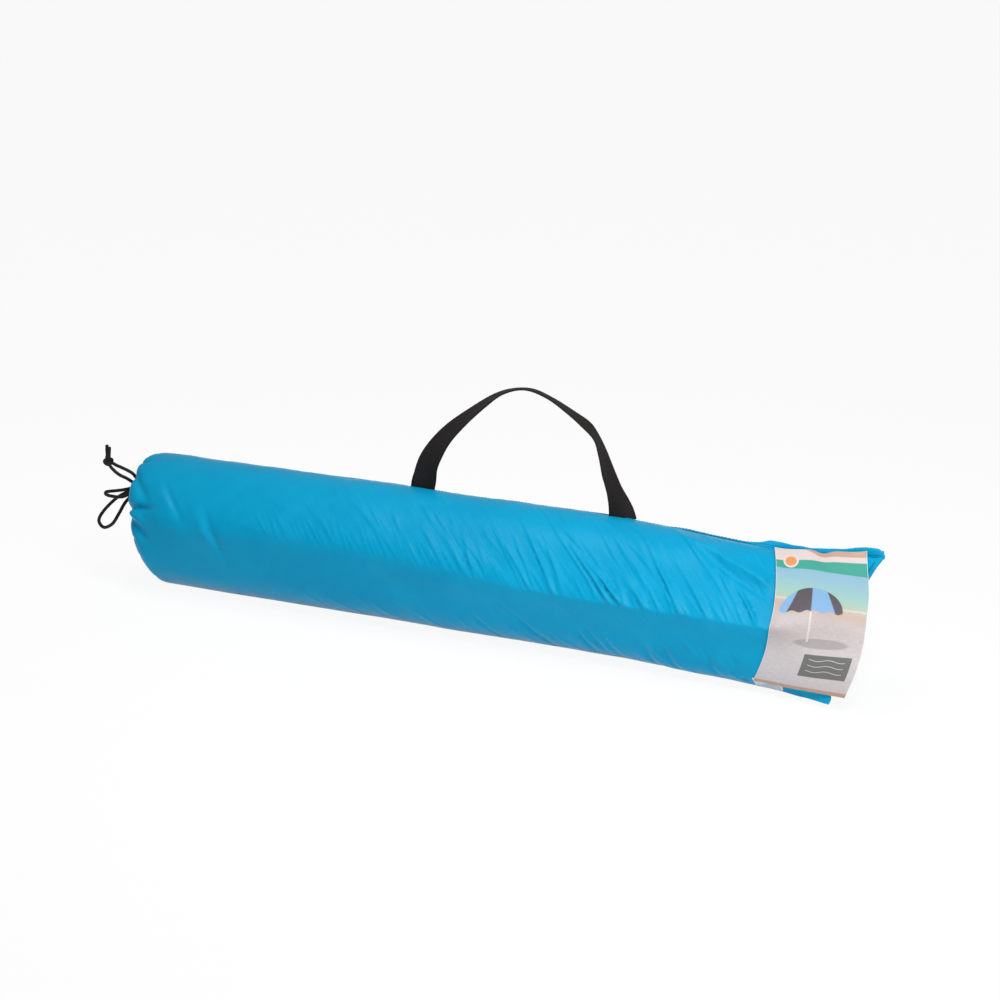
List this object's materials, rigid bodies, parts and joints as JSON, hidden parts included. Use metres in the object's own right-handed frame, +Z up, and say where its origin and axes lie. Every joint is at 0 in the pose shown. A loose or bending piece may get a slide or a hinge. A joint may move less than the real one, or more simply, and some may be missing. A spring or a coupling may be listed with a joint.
{
  "type": "beach tent packed in its carry bag",
  "caption": "Long cylindrical drawstring carry bag with a webbing handle, holding a rolled beach tent, folded shock-corded poles and a peg pouch.",
  "frame": {"origin": "centre of the flat strip that the bag lies on, half way along the bag", "axes": "+X along the bag from its drawn mouth to its sewn end, -Y out of the front where the card is, +Z up"},
  "size_m": [0.776, 0.126, 0.226],
  "materials": {
    "polyester_blue": "thin plain-woven coated polyester with a soft sheen",
    "webbing_black": "ribbed polypropylene webbing, matt",
    "cord_black": "round braided cord, matt",
    "card_print": "printed thin card, semi-gloss",
    "tape_clear": "clear tape",
    "canopy_cloth": "folded canopy polyester",
    "groundsheet": "folded dark groundsheet",
    "tie_tape": "woven tape",
    "fibreglass": "black fibreglass tube",
    "steel": "bright zinc-plated steel",
    "shock_cord": "elastic cord with a woven cover",
    "tip_plastic": "black moulded plastic",
    "pouch_cloth": "plain-woven polyester",
    "guy_line": "thin braided line",
    "runner_plastic": "black moulded plastic"
  },
  "bodies": {
    "bag": {"bag_shell": "polyester_blue", "mouth_gather": "polyester_blue", "mouth_hem": "polyester_blue", "drawcord_run": "cord_black", "side_seam": "polyester_blue", "end_seam": "polyester_blue", "strap_tab_left": "webbing_black", "strap_tab_right": "webbing_black", "info_card": "card_print", "card_tape": "tape_clear"},
    "handle": {"carry_strap": "webbing_black"},
    "drawcord": {"bow_knot": "cord_black", "loop_small": "cord_black", "loop_large": "cord_black", "tail_upper": "cord_black", "tail_lower": "cord_black", "end_knot": "cord_black"},
    "roll": {"canopy_roll": "canopy_cloth", "groundsheet_roll": "groundsheet", "roll_tie_left": "tie_tape", "roll_tie_right": "tie_tape"},
    "pole_a": {"pole_a_ferrule_1": "steel", "pole_a_ferrule_2": "steel", "pole_a_ferrule_3": "steel", "pole_a_ferrule_4": "steel", "pole_a_shock_cord": "shock_cord", "pole_a_tip_end": "tip_plastic", "pole_a_tip_start": "tip_plastic", "pole_a_tube_1": "fibreglass", "pole_a_tube_2": "fibreglass", "pole_a_tube_3": "fibreglass", "pole_a_tube_4": "fibreglass", "pole_a_tube_5": "fibreglass"},
    "pole_b": {"pole_b_ferrule_1": "steel", "pole_b_ferrule_2": "steel", "pole_b_ferrule_3": "steel", "pole_b_ferrule_4": "steel", "pole_b_shock_cord": "shock_cord", "pole_b_tip_end": "tip_plastic", "pole_b_tip_start": "tip_plastic", "pole_b_tube_1": "fibreglass", "pole_b_tube_2": "fibreglass", "pole_b_tube_3": "fibreglass", "pole_b_tube_4": "fibreglass", "pole_b_tube_5": "fibreglass"},
    "pouch": {"guy_line_lower": "guy_line", "guy_line_upper": "guy_line", "line_runner_lower": "runner_plastic", "line_runner_upper": "runner_plastic", "peg_lower_1": "steel", "peg_lower_2": "steel", "peg_lower_3": "steel", "peg_lower_4": "steel", "peg_pouch": "pouch_cloth", "peg_upper_1": "steel", "peg_upper_2": "steel", "peg_upper_3": "steel", "peg_upper_4": "steel"}
  },
  "joints": [
    {"name": "handle_fold", "type": "hinge", "parent": "bag", "child": "handle", "pos_m": [0.03, 0.0226, 0.1245], "axis": [1, 0, 0], "range_deg": [-105, 64]},
    {"name": "roll_slide", "type": "slide", "parent": "bag", "child": "roll", "axis": [-1, 0, 0], "range_m": [0, 0.545], "deforming": ["mouth_gather", "mouth_hem", "drawcord_run", "bow_knot", "loop_small", "loop_large", "tail_upper", "tail_lower"]},
    {"name": "drawcord_shift", "type": "slide", "parent": "bag", "child": "drawcord", "axis": [0, -0.6, 0.8], "range_m": [0, 0.034]},
    {"name": "pole_a_slide", "type": "slide", "parent": "roll", "child": "pole_a", "axis": [-1, 0, 0], "range_m": [0, 0.52]},
    {"name": "pole_b_slide", "type": "slide", "parent": "roll", "child": "pole_b", "axis": [-1, 0, 0], "range_m": [0, 0.52]},
    {"name": "pouch_slide", "type": "slide", "parent": "roll", "child": "pouch", "axis": [-1, 0, 0], "range_m": [0, 0.44]}
  ],
  "couplings": [
    {"joint": "drawcord_shift", "follows": "roll_slide", "ratio": 0.062385}
  ]
}
